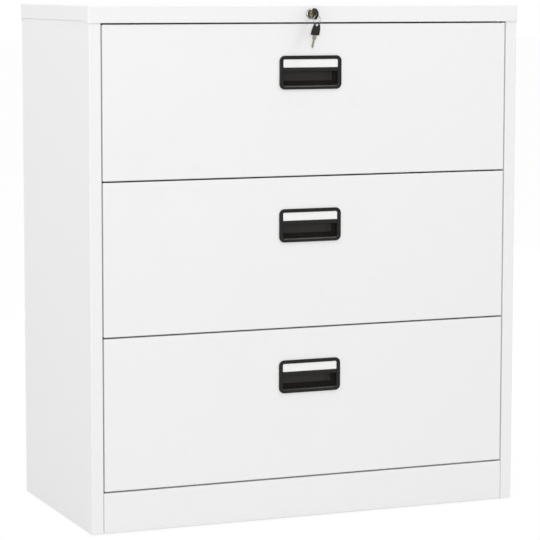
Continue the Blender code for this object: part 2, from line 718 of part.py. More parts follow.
def lock_slide_bar():
    """Flat bar on edge in the rail, with the yoke slot that the cam's crank pin works in."""
    floor = RAIL_FLOOR + SEAT
    left = YOKE_X - CRANK_PIN - BAR_END
    right = DROP_BAR_X + DROP_BAR_WIDTH
    top = floor + SLIDE_BAR_HEIGHT
    outline = [(left, floor), (right, floor), (right, top), (left, top)]
    bar = place("lock_slide_bar", plate(outline, BAR_Y, BAR_Y + BAR_THICK), ZINC)
    bottom = (YOKE_X, LOCK_Z - CRANK_RADIUS)
    yoke = slot_tool("yoke_slot", bottom, (YOKE_X, LOCK_Z - YOKE_X), CRANK_PIN + YOKE_PLAY)
    boolean(bar, yoke, "DIFFERENCE")


def lock_drop_bar():
    """Upright bar riveted to the slide bar; its tabs stand clear of the catches until the key turns."""
    inner = DROP_BAR_X
    outer = inner + DROP_BAR_WIDTH
    top = RAIL_FLOOR + SEAT + SLIDE_BAR_HEIGHT
    first = OPENING_TOP - TOP_GAP - FRONT_HEIGHT + CATCH_LEVEL
    catches = sorted(first - n * DRAWER_PITCH for n in range(DRAWER_COUNT))
    foot = catches[0] - DROP_BAR_TAIL
    outline = [(inner, top), (outer, top), (outer, foot), (inner, foot)]
    for level in catches:
        crown = level + CATCH_HEIGHT
        outline += [(inner, level), (TAB_X, level), (TAB_X, crown), (inner, crown)]
    place("lock_drop_bar", plate(outline, DROP_Y, DROP_Y + BAR_THICK), ZINC)


def key_bow(group):
    """Moulded bow, tapered to the ring hole; local Y runs from the hole to the blade."""
    rear = -BOW_HOLE_INSET
    front = rear + BOW_LENGTH
    wide = 0.5 * BOW_WIDTH
    neck = 0.5 * BOW_NECK
    corners = [(rear, -neck), (rear + 0.5 * BOW_LENGTH, -wide), (front, -wide), (front, wide),
               (rear + 0.5 * BOW_LENGTH, wide), (rear, neck)]
    outline = rounded(corners, BOW_CORNER, 3)
    half = 0.5 * BOW_THICK
    rings = []
    for x, shrink in ((-half, 0.94), (-0.6 * half, 1.0), (0.6 * half, 1.0), (half, 0.94)):
        middle = 0.5 * (front + rear)
        rings.append([(x, middle + (y - middle) * shrink, z * shrink) for y, z in outline])
    bow = place("key_bow", loft(rings), BLACK, group)
    eye = tool("key_eye", turned(rod(BOW_HOLE, -BOW_THICK, BOW_THICK), 20, (1, 0, 0)), group)
    boolean(bow, eye, "DIFFERENCE")


def key_blade(group):
    """Stamped blade with its shoulder against the bow and a pointed, notched tip."""
    base = BOW_LENGTH - BOW_HOLE_INSET + KEY_PLAY
    stop = base + SHOULDER_LENGTH - KEY_PLAY
    tip = stop + BLADE_LENGTH - KEY_PLAY
    step = stop - 2 * SEAT
    wide = 0.5 * BLADE_WIDTH
    shoulder = 0.5 * BLADE_SHOULDER
    cut = 0.25 * BLADE_WIDTH
    outline = [(base, -shoulder), (step, -shoulder), (step, -wide), (tip - wide, -wide),
               (tip, -0.3 * wide), (tip, 0.3 * wide), (tip - wide, wide)]
    for k in range(3):
        start = tip - NOTCH_PITCH * (k + 1)
        ramp = 0.25 * NOTCH_PITCH
        outline += [(start, wide), (start - ramp, wide - cut), (start - 2 * ramp, wide - cut),
                    (start - 3 * ramp, wide)]
    outline += [(step, wide), (step, shoulder), (base, shoulder)]
    half = 0.5 * BLADE_THICK
    place("key_blade", loft([[(x, y, z) for y, z in outline] for x in (-half, half)]), NICKEL, group)


def key_ring(group):
    """Wire ring through the bow of the key, hanging from its own top."""
    wire = []
    for k in range(10):
        angle = 2 * math.pi * k / 10
        wire.append((RING_RADIUS + RING_WIRE * math.cos(angle), RING_WIRE * math.sin(angle)))
    facing = (math.sin(RING_TWIST), -math.cos(RING_TWIST), 0)
    place("key_ring", turned(wire, 28, facing), CHROME, group, (0, 0, -RING_RADIUS))


def case():
    """The fixed folded carcass on its feet."""
    side_panel("left_side_panel", -1)
    side_panel("right_side_panel", 1)
    front_mount("left_slide_mount", -1)
    front_mount("right_slide_mount", 1)
    back_panel()
    top_lid()
    lock_rail()
    plinth()
    base_pan()
    for label, x, y in foot_places():
        levelling_foot(label, x, y)


def lock():
    """Gang lock: housing, plug, cam, bars, and the key in the plug with its ring."""
    lock_housing()
    lock_nut()
    turning = datum("lock_turning", (0, LID_Y, LOCK_Z))
    lock_plug(turning)
    lock_cam(turning)
    lock_slide_bar()
    lock_drop_bar()
    eye_y = LID_Y - SEAT - RING_REACH
    inserted = datum("key_inserted", (0, eye_y, LOCK_Z))
    key_bow(inserted)
    key_blade(inserted)
    hang = BOW_HOLE - RING_WIRE - SEAT
    key_ring(datum("ring_hanging", (0, eye_y, LOCK_Z - hang)))


case()
for drawer_number in range(1, DRAWER_COUNT + 1):
    drawer(drawer_number)
lock()
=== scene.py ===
"""White steel lateral filing cabinet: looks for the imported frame, in metres, drawers facing -Y."""

import json
import math

import bmesh
import bpy
import numpy as np
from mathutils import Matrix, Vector


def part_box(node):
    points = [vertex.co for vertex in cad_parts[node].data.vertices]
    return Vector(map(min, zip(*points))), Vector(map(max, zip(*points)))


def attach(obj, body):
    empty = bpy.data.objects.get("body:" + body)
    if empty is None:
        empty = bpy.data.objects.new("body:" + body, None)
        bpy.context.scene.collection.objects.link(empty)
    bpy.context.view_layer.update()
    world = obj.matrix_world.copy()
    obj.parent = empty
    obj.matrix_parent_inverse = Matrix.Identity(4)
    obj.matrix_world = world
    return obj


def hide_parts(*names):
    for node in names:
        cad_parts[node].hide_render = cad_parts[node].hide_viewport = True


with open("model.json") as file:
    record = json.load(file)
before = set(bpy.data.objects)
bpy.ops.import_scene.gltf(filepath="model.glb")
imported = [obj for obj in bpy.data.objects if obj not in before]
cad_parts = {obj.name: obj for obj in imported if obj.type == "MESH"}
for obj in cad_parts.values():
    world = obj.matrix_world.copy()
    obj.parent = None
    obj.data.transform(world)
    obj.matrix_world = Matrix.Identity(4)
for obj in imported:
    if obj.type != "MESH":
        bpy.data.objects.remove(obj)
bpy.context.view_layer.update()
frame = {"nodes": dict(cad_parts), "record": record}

# Planes and levels of the cabinet that the pieces are set on
FACE_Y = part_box("drawer_1_front")[0].y
LID_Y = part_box("top_lid")[0].y
LOCK_Z = 0.988
HANDLE_LEVELS = [0.5 * sum(corner.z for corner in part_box(f"drawer_{n}_handle")) for n in (1, 2, 3)]

# Handle moulding, measured from its middle on the drawer's face
HANDLE_HALF = 0.065
HANDLE_TALL = 0.0325
HANDLE_CORNER = 0.0108
MOUTH_HALF = 0.0570
MOUTH_FOOT = -0.0245
MOUTH_HEAD = 0.0255
MOUTH_CORNER = 0.003
GRIP_FOOT = 0.0020
GRIP_HEAD = 0.0095
GRIP_RISE = 0.013
POCKET_DEPTH = 0.023
SIDE_DRAFT = 0.003
FLOOR_DRAFT = 0.007
CUP_WALL = 0.002
CUP_CORNER = 0.004

# Keys and ring
EYE_Y = LID_Y - 0.0293
EYE_RADIUS = 0.0030
BOW_END = 0.0197
WIRE_RADIUS = 0.00046
RING_TOP = LOCK_Z - EYE_RADIUS + WIRE_RADIUS
RING_RADIUS = 0.0080
RING_TWIST = math.radians(14)
SPARE_ACROSS = np.array([0.929, 0.366, -0.058])
SPARE_DOWN = np.array([-0.134, 0.186, -0.973])

# Camera and lamps: each lamp has its spot, the point it aims at, its size and its power
EYE_SPOT = (-1.8217, -4.4155, 1.0379)
EYE_TURN = (90 - 6.274, -0.076, -22.399)
EYE_SHIFT = -0.04
LENS = 158.1
SKY_STRENGTH = 0.75
LAMPS = {
    "front_lamp": ((-3.3, -8.4, 1.7), (0, -0.2, 0.6), 2.4, 266),
    "side_lamp": ((-3.7, 0.3, 2.6), (-0.45, 0, 0.6), 2.4, 36),
    "ceiling_lamp": ((-0.2, -0.9, 3.6), (0, 0, 1.0), 2.0, 12),
    "edge_lamp": ((1.05, -1.2, 3.0), (0, -0.2, 0.7), 0.34, 9),
    "rear_lamp": ((3.6, 3.0, 0.8), (0.2, 0.1, 0.5), 1.6, 42),
}


# Skins: grids of points with their faces
def shell(rows, closed=False, first_cap=False, last_cap=False):
    """Skin over a grid: each row is a closed loop, joined to the next row by four-sided faces.

    A closed skin joins its last row to its first, and a cap fills an end row with one face.
    """
    count, width = rows.shape[:2]
    index = np.arange(count * width).reshape(count, width)
    turn = np.roll(index, -1, axis=1)
    quads = np.stack((index, turn, np.roll(turn, -1, axis=0), np.roll(index, -1, axis=0)), axis=-1)
    if not closed:
        quads = quads[:-1]
    faces = [quads.reshape(-1, 4)]
    if first_cap:
        faces.append(index[:1, ::-1])
    if last_cap:
        faces.append(index[-1:])
    return rows.reshape(-1, 3), faces


def piece(name, shells, finish, body, nodes=(), crease=32):
    """Mesh object from one or more skins, riding on a body and standing for the named solids."""
    points = []
    faces = []
    count = 0
    for spots, groups in shells:
        points.append(spots)
        for group in groups:
            faces += (group + count).tolist()
        count += len(spots)
    mesh = bpy.data.meshes.new(name)
    mesh.from_pydata(np.concatenate(points).tolist(), [], faces)
    work = bmesh.new()
    work.from_mesh(mesh)
    bmesh.ops.remove_doubles(work, verts=work.verts, dist=1e-7)
    bmesh.ops.recalc_face_normals(work, faces=work.faces)
    work.to_mesh(mesh)
    work.free()
    mesh.materials.append(finish.material)
    mesh.shade_smooth()
    mesh.set_sharp_from_angle(angle=math.radians(crease))
    made = bpy.data.objects.new(name, mesh)
    bpy.context.scene.collection.objects.link(made)
    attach(made, body)
    if nodes:
        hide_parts(*nodes)
    return made


def rounded_box(left, foot, right, head, radius, steps=8):
    """Rounded rectangle as (x, z) points with their bearings.

    Each corner is a quarter turn about its own centre.
    """
    bearing = np.radians(np.array([0, 90, 180, 270])[:, None] + np.linspace(0, 90, steps + 1))
    x = np.array([right - radius, left + radius, left + radius, right - radius])[:, None]
    z = np.array([head - radius, head - radius, foot + radius, foot + radius])[:, None]
    points = np.stack((x + radius * np.cos(bearing), z + radius * np.sin(bearing)), axis=-1)
    return points.reshape(-1, 2), bearing.ravel()


def eased_corners(corners, radii, steps=8):
    """Closed outline with an arc of its own radius at each corner of a polygon given anticlockwise.

    The arc's centre lies on the corner's bisector, and it turns from the normal of the side before
    to the normal of the side after.
    """
    corners = np.asarray(corners, float)
    radii = np.asarray(radii, float)
    sides = np.roll(corners, -1, axis=0) - corners
    sides /= np.linalg.norm(sides, axis=1)[:, None]
    after = np.stack((sides[:, 1], -sides[:, 0]), axis=-1)
    before = np.roll(after, 1, axis=0)
    lean = 1 + np.sum(before * after, axis=1)
    centres = corners - (before + after) * (radii / lean)[:, None]
    start = np.arctan2(before[:, 1], before[:, 0])
    swing = np.angle(np.exp(1j * (np.arctan2(after[:, 1], after[:, 0]) - start)))
    bearing = start[:, None] + swing[:, None] * np.linspace(0, 1, steps + 1)
    arcs = np.stack((np.cos(bearing), np.sin(bearing)), axis=-1) * radii[:, None, None]
    return (centres[:, None] + arcs).reshape(-1, 2)


def normals(outline):
    """Outward direction at each point of a closed anticlockwise outline.

    It is the chord between the point's neighbours, turned by a quarter.
    """
    chord = np.roll(outline, -1, axis=0) - np.roll(outline, 1, axis=0)
    outward = np.stack((chord[:, 1], -chord[:, 0]), axis=-1)
    return outward / np.linalg.norm(outward, axis=1)[:, None]


def upright(outline, y):
    """(x, z) outline stood up at depth y, which may be one value or one for each point."""
    depth = np.broadcast_to(y, len(outline))
    return np.stack((outline[:, 0], depth, outline[:, 1]), axis=-1)


def spun(profile, centre, turns=96):
    """Closed (radius, y) profile carried round an axis along Y through the centre."""
    profile = np.asarray(profile, float)
    angle = np.linspace(0, 2 * math.pi, turns, endpoint=False)
    x = centre[0] + profile[:, :1] * np.cos(angle)
    z = centre[2] + profile[:, :1] * np.sin(angle)
    y = centre[1] + np.broadcast_to(profile[:, 1:], x.shape)
    return shell(np.stack((x, y, z), axis=-1), closed=True)


# Finishes: shader maths as expressions
class Value:
    """A node's output; arithmetic on it adds Math nodes to its finish."""

    def __init__(self, finish, socket):
        self.finish = finish
        self.socket = socket

    def maths(self, operation, first, second):
        return self.finish.node("ShaderNodeMath", {"operation": operation}, {0: first, 1: second})

    def __add__(self, other):
        return self.maths("ADD", self, other)

    __radd__ = __add__

    def __sub__(self, other):
        return self.maths("SUBTRACT", self, other)

    def __rsub__(self, other):
        return self.maths("SUBTRACT", other, self)

    def __mul__(self, other):
        return self.maths("MULTIPLY", self, other)

    __rmul__ = __mul__


class Finish:
    """A material whose nodes are added by expressions and set on one Principled shader."""

    def __init__(self, name, **constants):
        self.material = bpy.data.materials.new(name)
        self.material.use_nodes = True
        self.tree = self.material.node_tree
        self.shader = self.tree.nodes["Principled BSDF"]
        for socket, value in constants.items():
            self.shader.inputs[socket.replace("_", " ")].default_value = value

    def node(self, kind, settings, sockets, output=0):
        """Any node: its settings first, then the values or links of its sockets."""
        made = self.tree.nodes.new(kind)
        for name, value in settings.items():
            setattr(made, name, value)
        for name, value in sockets.items():
            self.feed(made.inputs[name], value)
        return Value(self, made.outputs[output])

    def feed(self, socket, value):
        """Link an output to a socket, or set a constant on it."""
        if isinstance(value, Value):
            self.tree.links.new(value.socket, socket)
        else:
            socket.default_value = value

    def place(self, stretch=(1, 1, 1)):
        """Object coordinates, scaled along the axes."""
        spot = self.node("ShaderNodeTexCoord", {}, {}, "Object")
        return self.node("ShaderNodeMapping", {}, {"Vector": spot, "Scale": stretch})

    def noise(self, scale, detail=2.0, roughness=0.5, stretch=(1, 1, 1)):
        """Noise around one half, with features about one over the scale long."""
        sockets = {"Vector": self.place(stretch), "Scale": scale}
        sockets.update({"Detail": detail, "Roughness": roughness})
        return self.node("ShaderNodeTexNoise", {}, sockets)

    def ramp(self, value, low, high):
        """Value run from 0 at low to 1 at high, held at both ends."""
        settings = {"interpolation_type": "SMOOTHSTEP"}
        sockets = {"Value": value, "From Min": low, "From Max": high}
        return self.node("ShaderNodeMapRange", settings, sockets)

    def mix(self, mask, first, second):
        """Colour between two colours by a mask."""
        return self.node("ShaderNodeMix", {"data_type": "RGBA"}, {0: mask, 6: first, 7: second}, 2)

    def bump(self, height, distance, strength=1.0, under=None):
        """Surface normal for a height field, laid over another where one is given."""
        sockets = {"Height": height, "Distance": distance, "Strength": strength}
        if under is not None:
            sockets["Normal"] = under
        return self.node("ShaderNodeBump", {}, sockets)

    def set(self, **sockets):
        """Feed the varying sockets of the shader."""
        for name, value in sockets.items():
            self.feed(self.shader.inputs[name.replace("_", " ")], value)
        return self


def white_enamel():
    """Satin powder coat: fine orange peel over a faint rolling of the sheet, chalky in places."""
    coat = Finish("white_enamel", IOR=1.45)
    peel = coat.noise(520, 2.0)
    roll = coat.noise(7, 1.0)
    chalk = coat.noise(3.1, 4.0, 0.6)
    dirt = coat.ramp(coat.noise(38, 5.0, 0.65), 0.56, 0.80)
    tone = coat.mix(chalk, (0.845, 0.847, 0.845, 1), (0.872, 0.872, 0.868, 1))
    tone = coat.mix(dirt * 0.10, tone, (0.70, 0.70, 0.68, 1))
    normal = coat.bump(roll, 0.004, 0.10)
    normal = coat.bump(peel, 0.0001, 0.35, normal)
    return coat.set(Base_Color=tone, Roughness=0.36 + 0.10 * chalk + 0.06 * peel, Normal=normal)


def black_moulding():
    """Moulded plastic with a fine eroded grain, painted lighter and a little rougher behind the
    drawers' face: painted light in the pocket.
    """
    resin = Finish("black_moulding", IOR=1.42, Specular_IOR_Level=0.25)
    grain = resin.noise(2600, 2.0, 0.6)
    flow = resin.noise(60, 3.0)
    spot = resin.node("ShaderNodeSeparateXYZ", {}, {0: resin.place()}, "Y")
    # painted light: the mask grows deeper behind the drawers' face, so the pocket's walls are painted
    # lighter
    painted_pocket_light = resin.ramp(spot, FACE_Y + 0.001, FACE_Y + 0.014) * (0.6 + 0.6 * flow)
    tone = resin.mix(flow, (0.0105, 0.0101, 0.0090, 1), (0.0165, 0.0156, 0.0138, 1))
    # the pale colour here is painted light inside the handle's pocket
    tone = resin.mix(painted_pocket_light, tone, (0.0320, 0.0300, 0.0262, 1))
    normal = resin.bump(grain, 0.00004, 0.35)
    gloss = 0.18 + 0.10 * grain + 0.06 * flow + 0.06 * painted_pocket_light
    return resin.set(Base_Color=tone, Roughness=gloss, Normal=normal)


def soft_grip():
    """Soft plastic of the key bows, duller than the handles, rubbed smoother in patches."""
    resin = Finish("soft_grip", Specular_IOR_Level=0.12)
    grain = resin.noise(3200, 2.0, 0.6)
    rub = resin.ramp(resin.noise(170, 3.0), 0.40, 0.65)
    tone = resin.mix(rub, (0.0210, 0.0205, 0.0185, 1), (0.0280, 0.0272, 0.0240, 1))
    normal = resin.bump(grain, 0.00004, 0.4)
    return resin.set(Base_Color=tone, Roughness=0.56 - 0.14 * rub + 0.10 * grain, Normal=normal)


def zinc_plate():
    """Bright zinc on rolled strip: streaks along the rolling direction and a pale bloom."""
    metal = Finish("zinc_plate", Metallic=1.0)
    streak = metal.noise(60, 4.0, 0.6, (14, 0.5, 14))
    bloom = metal.noise(26, 5.0, 0.65)
    tone = metal.mix(bloom, (0.50, 0.51, 0.53, 1), (0.70, 0.70, 0.69, 1))
    normal = metal.bump(streak, 0.00006, 0.30)
    return metal.set(Base_Color=tone, Roughness=0.22 + 0.22 * bloom + 0.10 * streak, Normal=normal)


def dull_nickel():
    """Satin nickel plating, warmer where it is thin, with turning marks and a slight haze."""
    metal = Finish("dull_nickel", Metallic=1.0)
    hair = metal.noise(900, 2.0, 0.5, (1, 1, 9))
    haze = metal.noise(260, 3.0)
    tone = metal.mix(haze, (0.26, 0.25, 0.22, 1), (0.42, 0.41, 0.38, 1))
    normal = metal.bump(hair, 0.00001, 0.20)
    return metal.set(Base_Color=tone, Roughness=0.20 + 0.14 * haze + 0.06 * hair, Normal=normal)


def spring_wire():
    """Drawn steel wire, greyer than plating, with draw marks along it."""
    metal = Finish("spring_wire", Metallic=1.0)
    draw = metal.noise(1100, 2.0, 0.5)
    cloud = metal.noise(240, 3.0)
    tone = metal.mix(cloud, (0.36, 0.36, 0.35, 1), (0.50, 0.50, 0.48, 1))
    normal = metal.bump(draw, 0.00001, 0.3)
    return metal.set(Base_Color=tone, Roughness=0.22 + 0.16 * cloud + 0.08 * draw, Normal=normal)


def worn_nickel():
    """Nickel over brass: the yellow shows where the plating is rubbed."""
    metal = Finish("worn_nickel", Metallic=1.0)
    rub = metal.ramp(metal.noise(310, 4.0, 0.6), 0.42, 0.62)
    hair = metal.noise(1400, 2.0, 0.5, (1, 1, 6))
    tone = metal.mix(rub, (0.34, 0.33, 0.28, 1), (0.30, 0.27, 0.16, 1))
    normal = metal.bump(hair, 0.00001, 0.25)
    return metal.set(Base_Color=tone, Roughness=0.20 + 0.16 * rub + 0.08 * hair, Normal=normal)


def tarnished_brass():
    """Brass of the lock's plug under thin plating, darkened in blots, with turning marks."""
    metal = Finish("tarnished_brass", Metallic=1.0)
    blot = metal.ramp(metal.noise(420, 4.0, 0.6), 0.38, 0.62)
    hair = metal.noise(1400, 2.0, 0.5, (1, 1, 6))
    tone = metal.mix(blot, (0.36, 0.35, 0.27, 1), (0.15, 0.140, 0.088, 1))
    normal = metal.bump(hair, 0.00001, 0.25)
    return metal.set(Base_Color=tone, Roughness=0.24 + 0.18 * blot + 0.08 * hair, Normal=normal)


def plain_card():
    """Uncoated white card with a fibrous tooth."""
    paper = Finish("plain_card", Specular_IOR_Level=0.25)
    fibre = paper.noise(1500, 4.0, 0.7, (1, 1, 3))
    cloud = paper.noise(90, 3.0)
    tone = paper.mix(cloud, (0.86, 0.86, 0.85, 1), (0.91, 0.91, 0.90, 1))
    normal = paper.bump(fibre, 0.00003, 0.4)
    return paper.set(Base_Color=tone, Roughness=0.78 + 0.15 * fibre, Normal=normal)


def foot_rubber():
    """Dark rubber, scuffed grey by the floor."""
    rubber = Finish("foot_rubber", Specular_IOR_Level=0.3)
    scuff = rubber.ramp(rubber.noise(240, 5.0, 0.65), 0.45, 0.70)
    tone = rubber.mix(scuff, (0.012, 0.012, 0.012, 1), (0.050, 0.048, 0.045, 1))
    normal = rubber.bump(scuff, 0.0001, 0.3)
    return rubber.set(Base_Color=tone, Roughness=0.62 + 0.20 * scuff, Normal=normal)


ENAMEL = white_enamel()
MOULDING = black_moulding()
GRIP = soft_grip()
ZINC = zinc_plate()
PLATING = dull_nickel()
SPRING = spring_wire()
NICKEL = worn_nickel()
BRASS = tarnished_brass()
CARD = plain_card()
RUBBER = foot_rubber()
SLOT_FINISH = {
    "white_paint": ENAMEL,
    "black_plastic": MOULDING,
    "zinc_steel": ZINC,
    "chrome": PLATING,
    "nickel_brass": NICKEL,
    "paper": CARD,
}
NODE_FINISH = {
    "lock_plug": BRASS,
    "foot_front_left": RUBBER,
    "foot_front_right": RUBBER,
    "foot_rear_left": RUBBER,
    "foot_rear_right": RUBBER,
}


def dress_solids():
    """Give every solid of the frame its own finish where it has one, and else that of its slot."""
    for part in frame["record"]["subparts"]:
        name = part["node"]
        finish = NODE_FINISH.get(name, SLOT_FINISH[part["material_slot"]])
        mesh = frame["nodes"][name].data
        mesh.materials.clear()
        mesh.materials.append(finish.material)


# Handles
def handle_rim():
    """Rim of the handle: a rounded section carried between the outer edge and the mouth.

    A section's row is the share of the way from the outer outline to the inner one, the depth in
    millimetres at the sides, and the depth at the foot, where the rim slopes inwards. The depth runs
    from the sides' to the foot's as the bearing turns down.
    """
    outer, bearing = rounded_box(-HANDLE_HALF, -HANDLE_TALL, HANDLE_HALF, HANDLE_TALL, HANDLE_CORNER)
    inner = rounded_box(-MOUTH_HALF, MOUTH_FOOT, MOUTH_HALF, MOUTH_HEAD, MOUTH_CORNER)[0]
    section = np.array([
        (0.00, -0.30, -0.30), (0.00, -1.90, -1.90), (0.05, -2.55, -2.55), (0.16, -2.90, -2.90),
        (0.34, -3.00, -3.00), (0.50, -3.00, -3.00), (0.58, -3.00, -2.85), (0.66, -2.95, -2.45),
        (0.90, -2.60, -1.10), (1.00, -1.70, -0.20), (1.00, 0.60, 0.60), (0.72, 0.60, 0.60),
        (0.72, -0.30, -0.30), (0.00, -0.30, -0.30),
    ])
    share, side, foot = section.T[:, :, None]
    low = np.clip(-np.sin(bearing), 0, 1) ** 2
    depth = 0.001 * (side * (1 - low) + foot * low)
    across = outer + share[..., None] * (inner - outer)
    rows = np.stack((across[..., 0], depth, across[..., 1]), axis=-1)
    return shell(rows, closed=True)


def handle_cup():
    """Cup of the handle as one skin: up the outside to the face, and down the inside to the back.

    Each row is a rounded box at one depth, which tapers by the draft. An outside row is its depth and
    how far it draws in. An inside row is its depth, how far it spreads at the mouth, how far its head
    steps up behind the grip, and how far it draws in to the fillet at the back wall.
    """
    outside = ((0.0250, 0.0025), (0.0247, 0.0008), (0.0238, 0), (0.0004, 0))
    inside = (
        (0.0004, 0.0003, 0, 0), (0.0030, 0, 0, 0), (0.0062, 0, 0, 0), (0.0069, 0, 0.0005, 0),
        (0.0071, 0, 0.0015, 0), (0.0074, 0, 0.0120, 0), (0.0080, 0, 0.0127, 0),
        (0.0100, 0, GRIP_RISE, 0), (0.0200, 0, GRIP_RISE, 0), (0.0222, 0, GRIP_RISE, 0.0002),
        (0.0228, 0, GRIP_RISE, 0.0007), (POCKET_DEPTH, 0, GRIP_RISE, 0.0016),
    )
    rows = []
    for y, shrink in outside:
        draft = y / (POCKET_DEPTH + CUP_WALL)
        side = MOUTH_HALF + CUP_WALL - SIDE_DRAFT * draft - shrink
        foot = MOUTH_FOOT - CUP_WALL + FLOOR_DRAFT * draft + shrink
        head = GRIP_FOOT + GRIP_RISE + CUP_WALL - shrink
        rows.append(upright(rounded_box(-side, foot, side, head, CUP_CORNER)[0], y))
    for y, spread, rise, shrink in inside:
        draft = y / POCKET_DEPTH
        side = MOUTH_HALF + spread - SIDE_DRAFT * draft - shrink
        foot = MOUTH_FOOT - spread + FLOOR_DRAFT * draft + shrink
        head = GRIP_FOOT + spread + rise - shrink
        rows.append(upright(rounded_box(-side, foot, side, head, MOUTH_CORNER)[0], y))
    return shell(np.array(rows), first_cap=True, last_cap=True)


def handle_grip():
    """Grip lip below the label window: an eased section carried across the mouth."""
    face, back = -0.0029, -0.0004
    corners = [(face, GRIP_FOOT), (back, GRIP_FOOT), (back, GRIP_HEAD), (face + 0.0002, GRIP_HEAD)]
    section = eased_corners(corners, [0.0012, 0.0002, 0.0002, 0.0018])
    reach = MOUTH_HALF + 0.0003
    x = np.broadcast_to(np.array([[-reach], [reach]]), (2, len(section)))
    y, z = np.broadcast_to(section.T[:, None], (2,) + x.shape)
    return shell(np.stack((x, y, z), axis=-1), first_cap=True, last_cap=True)


def window_floor():
    """Floor of the label window: a thin rounded plate behind the card."""
    side = MOUTH_HALF + 0.0005
    outline = rounded_box(-side, GRIP_HEAD - 0.0008, side, MOUTH_HEAD + 0.0005, MOUTH_CORNER)[0]
    rows = np.array([upright(outline, -0.0008), upright(outline, -0.0003)])
    return shell(rows, first_cap=True, last_cap=True)


def handles():
    """The three moulded handles, each in place of its solid."""
    parts = [handle_rim(), handle_cup(), handle_grip(), window_floor()]
    for number, level in zip((1, 2, 3), HANDLE_LEVELS):
        shift = np.array([0, FACE_Y, level])
        shells = [(points + shift, faces) for points, faces in parts]
        piece(f"handle_{number}_moulding", shells, MOULDING, f"drawer_{number}",
              [f"drawer_{number}_handle"])


# Lock and keys
def lock_face():
    """Flanged lock body: one turned section with a domed rim, a rolled lip and a bore.

    The section is radius and depth in millimetres, from the bore's far end over the rim and back.
    """
    section = 0.001 * np.array([
        (6.3, 19), (6.3, -1.5), (6.4, -1.75), (6.65, -2.0), (7.0, -2.12), (7.5, -2.15),
        (8.0, -2.07), (8.6, -1.85), (9.1, -1.58), (9.6, -1.22), (10.0, -0.82), (10.2, -0.5),
        (10.15, -0.35), (10.0, -0.3), (9.2, -0.3), (9.2, 19),
    ])
    turned = spun(section, (0, LID_Y, LOCK_Z))
    piece("lock_body", [turned], PLATING, "case", ["lock_housing"])


def bow_skins(heel_radius, eye_half):
    """Key bow in its own plane, (u, v, w): v runs from the eye to the blade, w through it.

    The edge is half of a fuller ellipse from the eye's end to a square heel with eased corners, in
    millimetres. The eye is round, or an ellipse cut flat at its foot. The plate is a ring skin: out
    over the eased edge, across the face to the eye, through the eye and back. A bead of half-round
    section follows the edge, set in from it, on both faces.
    """
    half_width = 11.0
    end = 6.0
    waist = 20.0 - heel_radius
    sweep = np.linspace(0, 0.5 * math.pi, 26)
    u = half_width * np.sin(sweep) ** 1.11
    v = waist - (end + waist) * np.cos(sweep) ** 0.714
    corner = np.linspace(0, 0.5 * math.pi, 9)[1:]
    heel_u = half_width + heel_radius * (np.cos(corner) - 1)
    heel_v = waist + heel_radius * np.sin(corner)
    half = np.column_stack((np.concatenate((u, heel_u)), np.concatenate((v, heel_v))))
    edge = 0.001 * np.concatenate((half, half[:0:-1] * (-1, 1)))
    outward = normals(edge)
    angle = np.arctan2(edge[:, 1], edge[:, 0])
    foot = EYE_RADIUS * min(1.0, 1.72 - 0.72 * eye_half / EYE_RADIUS)
    eye = np.column_stack((eye_half * np.cos(angle), np.minimum(EYE_RADIUS * np.sin(angle), foot)))
    rims = ((0.9, -1.25), (0.3, -1.1), (0, -0.6), (0, 0.6), (0.3, 1.1), (0.9, 1.25))
    bores = ((0.4, 1.25), (0, 0.9), (0, -0.9), (0.4, -1.25))
    level = np.ones(len(edge))
    rows = [np.column_stack((edge - 0.001 * inset * outward, 0.001 * w * level)) for inset, w in rims]
    for grow, w in bores:
        rows.append(np.column_stack((eye * (1 + 0.001 * grow / EYE_RADIUS), 0.001 * w * level)))
    skins = [shell(np.array(rows), closed=True)]
    turn = np.linspace(0, 2 * math.pi, 12, endpoint=False)
    for side in (-1, 1):
        inset = 0.0014 + 0.0007 * np.cos(turn)
        rise = side * (0.00122 + 0.00030 * np.sin(turn))
        bead = edge - inset[:, None, None] * outward
        height = np.broadcast_to(rise[:, None, None], bead.shape[:2] + (1,))
        skins.append(shell(np.concatenate((bead, height), axis=-1), closed=True))
    return skins


def blade_skin(shoulder, tip):
    """Key blade in the bow's plane: a grooved section carried from the bow to the tip.

    The section's half-width is the shoulder's, then the blade's, less the bitting on one edge, and
    it draws in to the tip. The grooves fade out over the shoulder. One half of the section is given,
    as shares of the half-width and depths in millimetres, and the other is the same turned round.
    """
    start = BOW_END + shoulder
    head = np.array([BOW_END - 0.0001, BOW_END + 0.0009, start - 0.0005, start - 0.0002, start])
    middle = np.linspace(start + 0.0002, tip - 0.0016, 60)
    v = np.concatenate((head, middle, tip - np.array([0.0010, 0.0004, 0.0])))
    point = np.clip((tip - v) / 0.0022, 0.12, 1)
    half = np.interp(v, [start - 0.0005, start - 0.0002, start], [0.0047, 0.0045, 0.0022]) * point
    cuts = 4
    pitch = 0.0036
    phase = (v - start - 0.0028) / pitch
    cut = (phase > -0.4) & (phase < cuts - 0.6)
    bite = 0.0011 * np.clip(1.8 - 4.2 * np.abs(phase - np.round(phase)), 0, 1) * cut
    u = np.array([-1, -0.96, -0.45, -0.36, 0.06, 0.15, 0.96, 1])
    w = 0.001 * np.array([-0.78, -0.9, -0.9, -0.5, -0.5, -0.9, -0.9, -0.78])
    u = np.concatenate((u, -u))
    w = np.concatenate((w, -w))
    full = 0.0009 * np.sign(w) * np.minimum(1, np.abs(w) / 0.0009 + (np.abs(u) < 0.9))
    groove = np.clip((v - start + 0.0022) / 0.0020, 0, 1)[:, None]
    across = u * half[:, None] - np.clip(u, 0, 1) * bite[:, None]
    through = full * (1 - groove) + w * groove
    rows = np.stack((across, np.broadcast_to(v[:, None], across.shape), through), axis=-1)
    return shell(rows, first_cap=True, last_cap=True)


def laid(skins, origin, u, v, w):
    """Skins in (u, v, w) set in place: the origin plus each coordinate along its axis."""
    axes = np.array([u, v, w], float)
    return [(points @ axes + origin, faces) for points, faces in skins]


